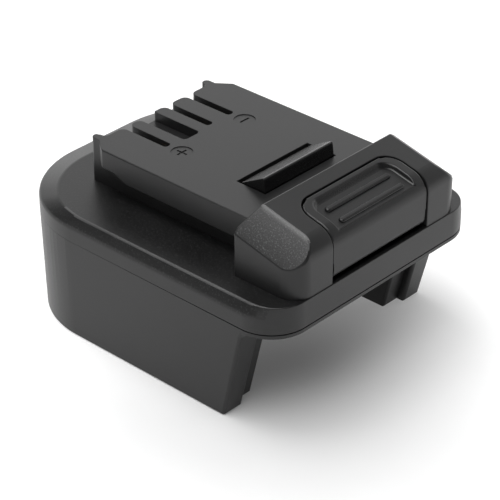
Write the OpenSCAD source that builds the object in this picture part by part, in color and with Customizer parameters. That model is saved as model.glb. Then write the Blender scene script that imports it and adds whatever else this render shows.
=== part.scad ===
// Slide-on adapter that lets a battery pack of one slide pattern power a cordless tool of another.
// Millimetres, +Z up, +X towards the release button, Z zero at the feet of the skirt.

/* [Shells] */
// Length from the rear edge to the front band
body_l = 100.5; // [98:0.5:104]
// Width across the flange
body_w = 80; // [78:0.5:84]
// Height of the parting line between the two shells
parting_z = 29.6; // [28:0.1:32]
// Height of the flange band above the parting line
flange_h = 7.45; // [7:0.05:9]
// Radius of the two rear corners in plan
rear_r = 29; // [24:0.5:29.5]
// Radius of the two front corners in plan
front_r = 11; // [8:0.5:12]
// Wall thickness of the mouldings
wall = 2.4; // [2:0.1:2.6]

/* [Tool slide] */
// Height of the deck above the flange
deck_h = 12.85; // [12.5:0.05:14]
// Width across the two rails
rail_w = 50.7; // [49:0.1:52]
// Width of the neck under the rails
neck_w = 44.2; // [43.5:0.1:45]
// Height of the groove between flange and rails
groove_h = 5.75; // [5:0.05:6]
// Spacing of the contact slots
slot_pitch = 8; // [7.8:0.1:8.2]
// Width of a contact slot
slot_w = 2.2; // [2:0.1:2.4]
// Width of the keying groove beside the contacts
key_w = 5.85; // [5:0.05:6]
// Depth of the keying groove
key_d = 2.8; // [2:0.1:3]

/* [Latch] */
// Width of the locking wedge
wedge_w = 26.4; // [22:0.2:27]
// Height of the wedge above the deck
wedge_h = 3.85; // [3:0.05:4]
// Width of the release button
button_w = 36; // [32:0.5:38]
// Gap round the button and the wedge
latch_gap = 0.4; // [0.3:0.05:0.5]
// Travel of the latch along its press direction
press_travel = 4; // [3.4:0.1:4]
// Lean of the press direction from the vertical, in degrees
press_tilt = 15; // [12:0.5:16]
// Slope of the hood's top, in degrees
hood_slope = 13.3; // [11:0.1:15]

/* [Battery slide] */
// Width between the two skirt legs
channel_w = 53; // [52:0.5:55]
// Height of the guide ribs above the feet
rib_z = 18; // [16:0.5:20]
// How far the guide ribs stand into the channel
rib_d = 2.6; // [2:0.1:3]
// Thickness of the battery blades
blade_t = 1; // [0.8:0.1:1.2]
// Spacing of the two power blades
blade_pitch = 30; // [28:1:32]
// Lean of the legs' front edges, in degrees
leg_lean = 13.5; // [11:0.5:15]

/* [Inner parts] */
// Wire diameter of the return springs
spring_wire = 0.8; // [0.6:0.1:0.9]
// Diameter over the insulation of the power leads
lead_d = 2.6; // [2.2:0.1:2.8]
// Clearance between parts that pass each other
clear = 0.3; // [0.25:0.05:0.4]

/* [Hidden] */
$fn = 64;
eps = 0.01;

rear_x = -body_l / 2;
front_x = body_l / 2;
half_w = body_w / 2;
flange_z = parting_z + flange_h;
bevel_z = parting_z + 4.3;
deck_z = flange_z + deck_h;
rail_z = flange_z + groove_h;
deck_t = wall;
deck_under = deck_z - deck_t;
flange_under = flange_z - wall;

// Plan of the flat top of the flange, set in from the outer plan by the bevel
crown_in = 1.5;
crown_rear_x = rear_x + 8.9;
crown_rear_r = rear_r - 5;

// Hood over the release button
hood_rear_x = front_x - 20.8;
hood_front_x = front_x - 0.25;
hood_hw = half_w - 8;
hood_knee_z = deck_z + 0.4;
top_x = hood_rear_x + 2.65;
top_z = deck_z + 5.4;
hood_fillet = 5.5;
hood_corner = 6;
facet_hw = 24.4;
facet_drop = 41.3;

// Deck, slots and rails
deck_rear_x = hood_rear_x - 57.3;
rail_hw = rail_w / 2;
neck_hw = neck_w / 2;
slot_front_x = deck_rear_x + 15.2;
slot_floor_z = deck_z - 10.4;
key_front_x = deck_rear_x + 16.6;
power_y = 1.5 * slot_pitch;
signal_y = slot_pitch / 2;
land_r = 1.8;

// Latch
slot_rear_x = hood_rear_x - 16;
slot_fore_x = hood_rear_x - 6.2;
wedge_hw = wedge_w / 2;
wedge_tip_x = slot_rear_x + 1.4;
wedge_top_x = slot_rear_x + 8.8;
open_x = top_x + 4.35;
open_hw = button_w / 2 + latch_gap;
open_r = 5.5;
cap_front_x = hood_front_x - 0.3;
cap_foot_z = flange_z + 1.85;
cap_notch_z = flange_z + 5.4;
band_t = 1.2;
cap_t = 2.2;
cap_front_t = 2.4;
arm_top = deck_under - clear;
arm_t = 3;
arm_hw = button_w / 2 - 4;
travel_z = press_travel * cos(press_tilt);
travel_x = press_travel * sin(press_tilt);

// Return springs, on the press direction
spring_x = hood_rear_x + 0.6;
spring_od = 6.4;
spring_y = arm_hw - spring_od / 2 - 1.3;
spring_turns = 7;
seat_z = parting_z + 2.8;
spring_l = (arm_top - arm_t + 1.4 - seat_z) / cos(press_tilt);

// Skirt and channel
draft = 0.77;
rim_t = 1.3;
ceiling_z = parting_z - rim_t;
tray_z = parting_z + 0.7;
channel_hw = channel_w / 2;
channel_rear_x = rear_x + 3.75;
leg_x = front_x - 17.7;
leg_step = 2.2;
leg_out_hw = channel_hw + 5.8;
rib_h = 3;
pocket_in = channel_hw + 4;
lip_in = wall + 0.2;

// Fasteners
screw_x = [rear_x + 32.25, leg_x - 10.55];
screw_y = channel_hw + 6.7;
screw_d = 2.9;
screw_head_d = 5.6;
screw_head_h = 2.2;
well_d = 6.4;
well_top = parting_z - 7;
screw_tip = flange_z - 2.6;

// Contact board
board_top = slot_floor_z - 1.45;
board_t = 1.6;
board_x0 = deck_rear_x + wall + 1;
board_x1 = slot_front_x + 16.65;
board_hw = neck_hw - wall - 0.7;
board_screw_d = 2;
board_screw_l = 8;
board_head_d = 4.4;
board_head_h = 1.5;
board_screw_x = board_x1 - board_head_d / 2 - 1.3;
board_screw_y = board_hw - board_head_d / 2 - 1.1;
chip_x = board_screw_x - 1.5;
chip_pitch = 6;
chip_hl = 1.6;
chip_hw = 0.8;
chip_h = 0.6;
clip_t = 0.6;
clip_top = deck_under - 1.6;

// Blade block
block_x = rear_x + 16.75;
block_t = 8;
block_hw = blade_pitch / 2 + 3;
block_foot = ceiling_z - 15.3;
block_screw_d = 2.2;
block_screw_l = 7;
block_head_d = 4.6;
block_head_h = 1.4;
block_screw_y = block_hw + block_head_d;
block_plate_z = tray_z + 1.5;
plate_lip = 0.5;
blade_z = block_foot + 2;
blade_h = 8;
blade_l = 19;
signal_blade_y = 6;
stem_hw = 1.5;
stem_top = block_plate_z + 2.2;

// Leads
power_core = 1.7;
signal_core = 0.9;
signal_lead_d = 1.6;
lead_z = block_plate_z + 0.4 + power_core / 2;
lead_end_x = board_x1 - 2 * board_head_d + 0.15;
lead_bend = 2.2;

function top_at(x) = top_z - (x - top_x) * tan(hood_slope);

module rounded_plan(x0, x1, hw, r0, r1) {
    translate([x0 + r0, -hw])
        square([x1 - r1 - x0 - r0, 2 * hw]);
    translate([x0, r0 - hw])
        square([x1 - x0 - r1, 2 * (hw - r0)]);
    translate([x0 + r0, r1 - hw])
        square([x1 - x0 - r0, 2 * (hw - r1)]);
    for (s = [-1, 1]) {
        translate([x0 + r0, s * (hw - r0)])
            circle(r0);
        translate([x1 - r1, s * (hw - r1)])
            circle(r1);
    }
}

module slab(z0, z1) {
    translate([0, 0, z0])
        linear_extrude(z1 - z0)
            children();
}

module side_slab(hw) {
    rotate([90, 0, 0])
        linear_extrude(2 * hw, center = true)
            children();
}

module box(x0, x1, hw, z0, z1) {
    translate([x0, -hw, z0])
        cube([x1 - x0, 2 * hw, z1 - z0]);
}

module both_sides() {
    children();
    mirror([0, 1, 0])
        children();
}

// Frame of the press direction, with its origin on the hood's top at the rear of the opening
module press_frame() {
    translate([open_x, 0, top_at(open_x)])
        rotate([0, press_tilt, 0])
            children();
}

// Frame of the hood's sloping top, with its origin on the top's rear edge
module slope_frame() {
    translate([top_x, 0, top_z])
        rotate([0, hood_slope, 0])
            children();
}

module flange_plan(inset) {
    rounded_plan(rear_x + inset, front_x - inset, half_w - inset, rear_r - inset, front_r - inset);
}

module crown_plan(inset) {
    rounded_plan(crown_rear_x + inset, front_x - inset, half_w - crown_in - inset,
                 crown_rear_r - inset, front_r - crown_in - inset);
}

// Side view of the hood's outside, or of the button's with a set-back front face
module hood_profile(front, foot) {
    corner_z = top_at(front);
    reach = hood_fillet / tan((90 + hood_slope) / 2);
    polygon([
        [hood_rear_x, foot],
        [hood_rear_x, hood_knee_z],
        [top_x, top_z],
        [front - reach * cos(hood_slope), corner_z + reach * sin(hood_slope)],
        [front, corner_z - reach],
        [front, foot]
    ]);
    translate([front - hood_fillet, corner_z - reach])
        circle(hood_fillet);
}

module facet_cut(depth) {
    both_sides()
        slope_frame()
            translate([0, facet_hw, -depth])
                rotate([-facet_drop, 0, 0])
                    translate([-30, 0, 0])
                        cube([70, 40, 30]);
}

module hood_body() {
    difference() {
        intersection() {
            side_slab(half_w)
                hood_profile(hood_front_x, flange_under);
            slab(flange_under, top_z + 1)
                rounded_plan(hood_rear_x, hood_front_x, hood_hw, 1, hood_corner);
        }
        facet_cut(0);
    }
}

module hood_hollow() {
    difference() {
        intersection() {
            side_slab(hood_hw - wall)
                polygon([
                    [hood_rear_x - 1, parting_z - 1],
                    [hood_rear_x - 1, deck_under],
                    [hood_rear_x + wall, deck_under],
                    [top_x + wall * 0.8, top_at(top_x) - wall * 1.3],
                    [hood_front_x - 4.6, top_at(hood_front_x - 4.6) - wall * 1.1],
                    [hood_front_x - wall, top_at(hood_front_x) - hood_fillet],
                    [hood_front_x - wall, parting_z - 1]
                ]);
            slab(parting_z - 1, top_z)
                rounded_plan(hood_rear_x - 2, hood_front_x - wall, hood_hw - wall, 0.5, hood_corner - wall);
        }
        facet_cut(wall);
        side_walls_under_deck();
    }
}

// The neck's own side walls carry on under the hood as far as its rear face
module side_walls_under_deck() {
    both_sides()
        translate([hood_rear_x - 2, neck_hw - wall, parting_z - 2])
            cube([2 + wall, half_w, deck_under]);
}

module flange_body() {
    $fn = 96;
    hull() {
        slab(parting_z, bevel_z)
            flange_plan(0);
        slab(flange_z - eps, flange_z)
            crown_plan(0);
    }
}

module rails() {
    intersection() {
        side_slab(rail_hw)
            polygon([
                [deck_rear_x, rail_z + 1.75],
                [deck_rear_x + 8.7, rail_z + 1.75],
                [deck_rear_x + 12.8, rail_z],
                [hood_rear_x + 1, rail_z],
                [hood_rear_x + 1, deck_z],
                [deck_rear_x, deck_z]
            ]);
        slab(rail_z, deck_z)
            polygon([
                [deck_rear_x + 0.7, -neck_hw],
                [deck_rear_x + 4.4, -rail_hw],
                [hood_rear_x + 1, -rail_hw],
                [hood_rear_x + 1, rail_hw],
                [deck_rear_x + 4.4, rail_hw],
                [deck_rear_x + 0.7, neck_hw]
            ]);
    }
}

// Round-ended post at each rear corner of the neck, with a hollow fillet towards the deck
module ear_plan() {
    ear_r = 1.25;
    fillet = 1.3;
    translate([deck_rear_x - ear_r, neck_hw - ear_r])
        circle(ear_r);
    translate([deck_rear_x - ear_r, neck_hw - 2 * ear_r])
        square([ear_r + 1, 2 * ear_r]);
    difference() {
        translate([deck_rear_x - fillet, neck_hw - 2 * ear_r - fillet])
            square([fillet + 1, fillet + 0.1]);
        translate([deck_rear_x - fillet, neck_hw - 2 * ear_r - fillet])
            circle(fillet);
    }
}

module neck() {
    box(deck_rear_x, hood_rear_x + 1, neck_hw, flange_under, deck_z);
    rails();
    both_sides()
        slab(flange_under, deck_z)
            ear_plan();
}

// Slot open at the rear with a round front end and rounded corners at its mouth
module slot_plan(y, w, front, end_r) {
    translate([0, y])
        rounded_plan(deck_rear_x - 4, front, w / 2, 0.1, end_r);
    for (s = [-1, 1])
        translate([deck_rear_x, y + s * w / 2])
            mirror([0, s < 0 ? 1 : 0])
                difference() {
                    translate([-0.5, -0.1])
                        square([land_r + 0.5, land_r + 0.1]);
                    translate([land_r, land_r])
                        circle(land_r);
                }
}

module contact_slots() {
    for (y = [-power_y, signal_y, power_y])
        slab(slot_floor_z, deck_z + 1)
            slot_plan(y, slot_w, slot_front_x, 0.9);
    slab(deck_z - key_d, deck_z + 1)
        slot_plan(-signal_y, key_w, key_front_x, 1.2);
}

module shell_bosses() {
    both_sides()
        for (x = screw_x)
            translate([x, screw_y, tray_z])
                cylinder(d = 7.6, h = flange_z - 1 - tray_z);
}

module board_bosses() {
    both_sides()
        translate([board_screw_x, board_screw_y, board_top])
            cylinder(d = 5.6, h = deck_under - board_top + 0.5);
}

module upper_hollow() {
    slab(parting_z - 1, parting_z + 3.2)
        flange_plan(wall);
    slab(parting_z, flange_under)
        crown_plan(wall);
    box(deck_rear_x + wall, hood_rear_x, neck_hw - wall, parting_z - 1, deck_under);
    hood_hollow();
    box(hood_front_x - 6, front_x - band_t, open_hw - 1, parting_z + 1.5, flange_z + 1);
}

module button_opening() {
    intersection() {
        press_frame()
            translate([0, 0, -30])
                linear_extrude(40)
                    rounded_plan(0, 40, open_hw, open_r, 1);
        box(open_x - 12, front_x + 5, half_w, flange_z, top_z + 5);
    }
}

module upper_shell() {
    color([0.16, 0.16, 0.17])
        difference() {
            union() {
                difference() {
                    union() {
                        flange_body();
                        neck();
                        hood_body();
                    }
                    upper_hollow();
                }
                shell_bosses();
                board_bosses();
                translate([deck_rear_x + 0.5, -signal_y - key_w / 2 - 1.6, deck_z - key_d - 1.8])
                    cube([17.5, key_w + 3.2, 2.4]);
            }
            contact_slots();
            box(slot_rear_x, slot_fore_x, wedge_hw + latch_gap, deck_under - 1, deck_z + 1);
            button_opening();
            both_sides() {
                for (x = screw_x)
                    translate([x, screw_y, parting_z - 1])
                        cylinder(d = screw_d + 0.1, h = screw_tip + 1.4 - parting_z);
                translate([board_screw_x, board_screw_y, board_top - 1])
                    cylinder(d = board_screw_d + 0.1, h = board_screw_l);
            }
        }
}

// Front cut of a leg: everything ahead of a leaning line and under the rim, with a filleted corner
module leg_cut(x) {
    r = 3;
    top = [x + ceiling_z * tan(leg_lean), ceiling_z];
    reach = r / tan((90 + leg_lean) / 2);
    polygon([
        [x - tan(leg_lean), -1],
        [top[0] - reach * sin(leg_lean), top[1] - reach * cos(leg_lean)],
        [top[0] + reach, top[1]],
        [front_x + 5, ceiling_z],
        [front_x + 5, -1]
    ]);
    translate([top[0] + reach, ceiling_z - r])
        circle(r);
}

module skirt_body() {
    $fn = 96;
    hull() {
        slab(0, eps)
            rounded_plan(rear_x + draft, front_x - draft, half_w - draft, rear_r - draft, front_r - draft);
        slab(parting_z - eps, parting_z)
            flange_plan(0);
    }
    slab(parting_z - 1, tray_z)
        flange_plan(lip_in);
}

module leg_hollows() {
    both_sides()
        difference() {
            intersection() {
                translate([0, (pocket_in + half_w) / 2, 0])
                    side_slab((half_w - pocket_in) / 2)
                        polygon([
                            [-30, 2.6],
                            [leg_x - leg_step - 3 + 2.6 * tan(leg_lean), 2.6],
                            [leg_x - leg_step - 3 + (tray_z + 1) * tan(leg_lean), tray_z + 1],
                            [-30, tray_z + 1]
                        ]);
                slab(0, tray_z + 2)
                    flange_plan(3.2);
            }
            for (x = screw_x)
                translate([x, screw_y, 0])
                    cylinder(d = 8.8, h = tray_z);
        }
}

module guide_ribs() {
    x1 = leg_x - leg_step + rib_z * tan(leg_lean) - 1.5;
    both_sides()
        slab(rib_z, rib_z + rib_h)
            polygon([
                [channel_rear_x + 5, channel_hw + 1],
                [channel_rear_x + 5, channel_hw - rib_d],
                [x1 - 6, channel_hw - rib_d],
                [x1, channel_hw],
                [x1, channel_hw + 1]
            ]);
}

module spring_seat() {
    translate([spring_x, spring_y, arm_top - arm_t])
        rotate([0, press_tilt, 0])
            translate([0, 0, 1.4 / cos(press_tilt) - spring_l])
                children();
}

module lower_shell() {
    color([0.15, 0.15, 0.16])
        difference() {
            union() {
                difference() {
                    skirt_body();
                    slab(-1, ceiling_z)
                        rounded_plan(channel_rear_x, front_x + 20, channel_hw, 12, 1);
                    both_sides() {
                        translate([0, leg_out_hw + 20, 0])
                            side_slab(20)
                                leg_cut(leg_x);
                        translate([0, channel_hw + (leg_out_hw - channel_hw) / 2, 0])
                            side_slab((leg_out_hw - channel_hw) / 2 + eps)
                                leg_cut(leg_x - leg_step);
                    }
                    leg_hollows();
                    slab(parting_z - 0.35, parting_z + eps)
                        difference() {
                            flange_plan(-2);
                            flange_plan(0.45);
                        }
                }
                guide_ribs();
                both_sides()
                    translate([block_x, block_screw_y, ceiling_z - 6.5])
                        cylinder(d = 6, h = 7);
                intersection() {
                    both_sides()
                        spring_seat()
                            union() {
                                translate([0, 0, -6])
                                    cylinder(d = 9, h = 6);
                                cylinder(d = spring_od - 2 * spring_wire - 0.6, h = 2.2);
                            }
                    box(0, front_x, half_w, ceiling_z + 0.5, deck_z);
                }
            }
            both_sides()
                for (x = screw_x)
                    translate([x, screw_y, -1]) {
                        cylinder(d = well_d, h = well_top + 1);
                        cylinder(d = screw_d + 0.5, h = tray_z + 2);
                    }
            both_sides()
                translate([block_x, block_screw_y, tray_z - block_screw_l])
                    cylinder(d = block_screw_d + 0.1, h = block_screw_l + 1);
            box(block_x - block_t / 2 - clear, block_x + block_t / 2 + clear, block_hw + clear,
                ceiling_z - 1, tray_z + 1);
            both_sides()
                translate([10, channel_hw - 1, 5])
                    cube([8, 3, 6]);
        }
}

module button_cap() {
    difference() {
        intersection() {
            press_frame()
                translate([0, 0, -30])
                    linear_extrude(40)
                        rounded_plan(latch_gap, 40, button_w / 2, open_r - latch_gap, 1);
            side_slab(half_w)
                hood_profile(cap_front_x, cap_foot_z);
        }
        cap_hollow();
        cap_foot_cuts();
        button_dish();
    }
    finger_ribs();
}

module cap_hollow() {
    intersection() {
        press_frame()
            translate([0, 0, -30])
                linear_extrude(40)
                    rounded_plan(latch_gap + cap_t, 40, button_w / 2 - cap_t, open_r - latch_gap - cap_t, 1);
        side_slab(half_w)
            polygon([
                [open_x - 12, 0],
                [open_x - 12, top_at(open_x - 12) - 3.6],
                [cap_front_x - 5.2, top_at(cap_front_x - 5.2) - 3.6],
                [cap_front_x - cap_front_t, top_at(cap_front_x) - hood_fillet],
                [cap_front_x - cap_front_t, 0]
            ]);
    }
}

// Trims the skirts behind the front wall, the notched lower corners and the rounded lower edge
module cap_foot_cuts() {
    round_r = 1.2;
    intersection() {
        press_frame()
            translate([-10, -half_w, -30])
                cube([50, body_w, 20.5]);
        box(open_x - 12, cap_front_x - cap_front_t, half_w, 0, top_z);
    }
    both_sides()
        translate([open_x, button_w / 2 - cap_t, 0])
            cube([30, 10, cap_notch_z]);
    side_slab(half_w)
        difference() {
            translate([cap_front_x - round_r, cap_foot_z - 1])
                square([round_r + 1, round_r + 1]);
            translate([cap_front_x - round_r, cap_foot_z + round_r])
                circle(round_r);
        }
}

// Dished thumb rest with sloping sides, open towards the front
module button_dish() {
    hull()
        slope_frame() {
            slab(-1.2, -1.2 + eps)
                rounded_plan(7.4, 30, 14.6, 3, 1);
            slab(0.3, 0.3 + eps)
                rounded_plan(6.2, 30, 15.8, 4, 1);
        }
}

module finger_ribs() {
    slope_frame()
        for (x = [10.4, 15.1])
            slab(-1.6, -0.5)
                translate([x, 0])
                    rotate(90)
                        rounded_plan(-10.8, 10.8, 0.9, 0.89, 0.89);
}

module latch_wedge() {
    back = tan(press_tilt);
    depth = deck_z - arm_top + 1;
    side_slab(wedge_hw)
        polygon([
            [wedge_tip_x - depth * back, deck_z - depth],
            [wedge_tip_x, deck_z],
            [wedge_top_x - 0.4, deck_z + wedge_h],
            [wedge_top_x + 0.2, deck_z + wedge_h],
            [slot_fore_x - clear, deck_z],
            [slot_fore_x - clear - depth * back, deck_z - depth]
        ]);
}

module release_latch() {
    color([0.13, 0.13, 0.14])
        difference() {
            union() {
                button_cap();
                latch_wedge();
                box(wedge_tip_x - 1.2, cap_front_x - cap_front_t + 0.4, arm_hw, arm_top - arm_t, arm_top);
            }
            both_sides()
                translate([spring_x, spring_y, arm_top - arm_t])
                    rotate([0, press_tilt, 0])
                        translate([0, 0, -3])
                            cylinder(d = spring_od + 0.8, h = 3 + 1.4 / cos(press_tilt));
        }
}

// Least gap between neighbouring turns of a coil, measured on its ring centres
function turn_gap(mean_d, wire_d, length, turns, rings) =
    min([
        for (k = [rings - 1:rings + 1])
            let (rise = (length - wire_d) / (rings * turns), a = 360 * k / rings)
                norm([mean_d / 2 * (1 - cos(a)), mean_d / 2 * sin(a), rise * k]) - wire_d
    ]);

// Coil of round wire, with its points worked out ring by ring
module coil(mean_d, wire_d, length, turns) {
    rings = 8;
    sides = 6;
    n = rings * turns;
    rise = length - wire_d;
    pts = [
        for (i = [0:n], j = [0:sides - 1])
            let (a = 360 * i / rings, b = 360 * j / sides, r = mean_d / 2 + wire_d / 2 * cos(b))
                [r * cos(a), r * sin(a), wire_d / 2 + rise * i / n + wire_d / 2 * sin(b)]
    ];
    sheets = [
        for (i = [0:n - 1], j = [0:sides - 1])
            let (k = (j + 1) % sides)
                each [
                    [i * sides + j, i * sides + k, (i + 1) * sides + k],
                    [i * sides + j, (i + 1) * sides + k, (i + 1) * sides + j]
                ]
    ];
    ends = [[for (j = [sides - 1:-1:0]) j], [for (j = [0:sides - 1]) n * sides + j]];
    echo(least_gap = turn_gap(mean_d, wire_d, length, turns, rings));
    polyhedron(pts, concat(sheets, ends), convexity = 8);
}

module latch_spring(s) {
    color([0.75, 0.75, 0.77])
        mirror([0, s < 0 ? 1 : 0, 0])
            spring_seat()
                translate([0, 0, 0.05])
                    coil(spring_od - spring_wire, spring_wire, spring_l - 0.1, spring_turns);
}

module latch_spring_left() {
    latch_spring(1);
}

module latch_spring_right() {
    latch_spring(-1);
}

// Folded contact clip: a base on the board, two leaves that close on the tool's blade, and a solder tail
module tool_clip(y) {
    x0 = board_x0 + 1;
    x1 = slot_front_x + 3;
    translate([0, y, 0]) {
        box(x1 - 6, x1, 1.9, board_top, board_top + clip_t);
        for (s = [-1, 1])
            slab(board_top, clip_top)
                polygon([
                    [x1 - 6, s * 1.3],
                    [x1, s * 1.3],
                    [x1, s * 1.9],
                    [x1 - 6, s * 1.9]
                ]);
        for (s = [-1, 1])
            slab(board_top + 2.4, clip_top)
                polygon([
                    [x1 - 5, s * 1.3],
                    [x0 + 3.4, s * 0.35],
                    [x0, s * 0.95],
                    [x0, s * 1.55],
                    [x0 + 3.4, s * 0.95],
                    [x1 - 5, s * 1.9]
                ]);
        box(x1 - 3.6, x1 - 2.4, 0.3, board_top - board_t - 1, board_top + clip_t / 2);
    }
}

module tool_clip_positive() {
    color([0.8, 0.65, 0.35])
        tool_clip(-power_y);
}

module tool_clip_signal() {
    color([0.8, 0.65, 0.35])
        tool_clip(signal_y);
}

module tool_clip_negative() {
    color([0.8, 0.65, 0.35])
        tool_clip(power_y);
}

module lead_hole(y, core) {
    translate([lead_end_x, y + blade_t / 2 + core / 2, board_top - 2 * board_t])
        cylinder(d = core + 0.2, h = 3 * board_t);
}

module circuit_board() {
    color([0.12, 0.35, 0.2])
        difference() {
            box(board_x0, board_x1, board_hw, board_top - board_t, board_top);
            both_sides()
                translate([board_screw_x, board_screw_y, board_top - 2 * board_t])
                    cylinder(d = board_screw_d + 0.7, h = 3 * board_t);
            for (y = [-power_y, signal_y, power_y]) {
                translate([slot_front_x, y, 0])
                    box(-1, 1, 0.5, board_top - 2 * board_t, board_top + board_t);
            }
            for (y = [-blade_pitch / 2, blade_pitch / 2])
                lead_hole(y, power_core);
            lead_hole(signal_blade_y, signal_core);
        }
}

module board_resistors() {
    color([0.1, 0.1, 0.1])
        for (y = [-chip_pitch, 0])
            translate([chip_x, y, board_top]) {
                box(-chip_hl, chip_hl, chip_hw, 0, chip_h);
                for (s = [-1, 1])
                    translate([s * (chip_hl - 0.15), 0, 0])
                        box(-0.2, 0.2, chip_hw + 0.05, 0, chip_h + 0.05);
            }
}

module blade_block() {
    color([0.2, 0.2, 0.21])
        difference() {
            union() {
                box(block_x - block_t / 2, block_x + block_t / 2, block_hw, block_foot, block_plate_z);
                box(block_x - block_t / 2 - plate_lip, block_x + block_t / 2 + plate_lip,
                    block_screw_y + block_head_d / 2 + plate_lip, tray_z, block_plate_z);
            }
            for (y = [-blade_pitch / 2, signal_blade_y, blade_pitch / 2])
                translate([block_x, y, 0]) {
                    box(-stem_hw, block_t, blade_t / 2 + 0.05, blade_z, blade_z + blade_h);
                    box(-stem_hw, stem_hw, blade_t / 2 + 0.05, blade_z, block_plate_z + 1);
                }
            both_sides()
                translate([block_x, block_screw_y, tray_z - 1])
                    cylinder(d = block_screw_d + 0.6, h = block_plate_z - tray_z + 2);
        }
}

// Flat blade with a stem that stands up through the block to take its lead
module battery_blade(y, length) {
    color([0.85, 0.85, 0.86])
        translate([block_x, y, 0])
            side_slab(blade_t / 2)
                polygon([
                    [-stem_hw, blade_z],
                    [length - 1, blade_z],
                    [length, blade_z + 1],
                    [length, blade_z + blade_h - 1],
                    [length - 1, blade_z + blade_h],
                    [stem_hw, blade_z + blade_h],
                    [stem_hw, stem_top],
                    [-stem_hw, stem_top]
                ]);
}

module battery_blade_positive() {
    battery_blade(-blade_pitch / 2, blade_l);
}

module battery_blade_signal() {
    battery_blade(signal_blade_y, blade_l - 3);
}

module battery_blade_negative() {
    battery_blade(blade_pitch / 2, blade_l);
}

// Lead soldered to the side of a blade's stem, run along the tray and turned up into the board
module lead(y_blade, d, core) {
    y = y_blade + blade_t / 2 + core / 2;
    pad_z = board_top - board_t;
    run = lead_end_x - lead_bend;
    jacket_x = block_x + 5;
    translate([block_x - stem_hw, y - core / 2, lead_z - core / 2])
        cube([2 * stem_hw, core / 2, core]);
    translate([block_x - stem_hw, y, lead_z])
        rotate([0, 90, 0])
            cylinder(d = core, h = jacket_x - block_x + stem_hw + 1);
    translate([jacket_x, y, lead_z])
        rotate([0, 90, 0])
            cylinder(d = d, h = run - jacket_x);
    translate([run, y, lead_z + lead_bend])
        rotate([90, 0, 0])
            rotate([0, 0, -90])
                rotate_extrude(angle = 90)
                    translate([lead_bend, 0])
                        circle(d = d);
    translate([lead_end_x, y, lead_z + lead_bend]) {
        cylinder(d = d, h = pad_z - 0.5 - lead_z - lead_bend);
        cylinder(d = core, h = board_top + 0.3 - lead_z - lead_bend);
    }
    translate([lead_end_x, y, pad_z - 0.6])
        cylinder(d1 = core, d2 = core + 1.2, h = 0.6);
}

module positive_lead() {
    color([0.7, 0.1, 0.1])
        lead(-blade_pitch / 2, lead_d, power_core);
}

module signal_lead() {
    color([0.85, 0.75, 0.2])
        lead(signal_blade_y, signal_lead_d, signal_core);
}

module negative_lead() {
    color([0.08, 0.08, 0.08])
        lead(blade_pitch / 2, lead_d, power_core);
}

module shell_screws() {
    color([0.6, 0.6, 0.62])
        both_sides()
            for (x = screw_x)
                translate([x, screw_y, well_top - screw_head_h]) {
                    cylinder(d = screw_head_d, h = screw_head_h);
                    cylinder(d = screw_d, h = screw_tip - well_top + screw_head_h);
                }
}

module board_screws() {
    color([0.6, 0.6, 0.62])
        both_sides()
            translate([board_screw_x, board_screw_y, board_top - board_t - board_head_h]) {
                cylinder(d = board_head_d, h = board_head_h);
                cylinder(d = board_screw_d, h = board_screw_l);
            }
}

module block_screws() {
    color([0.6, 0.6, 0.62])
        both_sides()
            translate([block_x, block_screw_y, block_plate_z - block_screw_l]) {
                translate([0, 0, block_screw_l])
                    cylinder(d = block_head_d, h = block_head_h);
                cylinder(d = block_screw_d, h = block_screw_l + block_head_h / 2);
            }
}

upper_shell();
lower_shell();
release_latch();
latch_spring_left();
latch_spring_right();
tool_clip_positive();
tool_clip_signal();
tool_clip_negative();
circuit_board();
board_resistors();
blade_block();
battery_blade_positive();
battery_blade_signal();
battery_blade_negative();
positive_lead();
signal_lead();
negative_lead();
shell_screws();
board_screws();
block_screws();
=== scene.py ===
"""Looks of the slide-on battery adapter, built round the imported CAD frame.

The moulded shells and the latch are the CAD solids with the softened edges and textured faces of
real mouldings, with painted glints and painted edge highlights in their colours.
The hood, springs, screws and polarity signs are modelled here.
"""
import math

import bmesh
import bpy
from mathutils import Matrix, Vector


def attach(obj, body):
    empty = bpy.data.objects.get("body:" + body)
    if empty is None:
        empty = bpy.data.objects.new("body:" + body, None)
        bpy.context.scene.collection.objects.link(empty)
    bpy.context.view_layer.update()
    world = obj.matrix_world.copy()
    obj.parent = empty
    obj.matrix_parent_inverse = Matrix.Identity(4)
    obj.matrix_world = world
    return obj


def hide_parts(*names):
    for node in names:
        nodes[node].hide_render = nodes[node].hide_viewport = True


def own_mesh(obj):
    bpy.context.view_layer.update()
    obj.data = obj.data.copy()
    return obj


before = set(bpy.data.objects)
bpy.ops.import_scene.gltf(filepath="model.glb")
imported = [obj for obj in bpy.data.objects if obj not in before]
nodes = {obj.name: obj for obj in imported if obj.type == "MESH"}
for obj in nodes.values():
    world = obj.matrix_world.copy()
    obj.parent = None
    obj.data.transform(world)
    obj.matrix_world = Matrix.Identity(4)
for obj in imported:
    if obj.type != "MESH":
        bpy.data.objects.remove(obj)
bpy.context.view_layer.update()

MM = 0.001
SHELL = "adapter_body"
LATCH = "latch"

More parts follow.
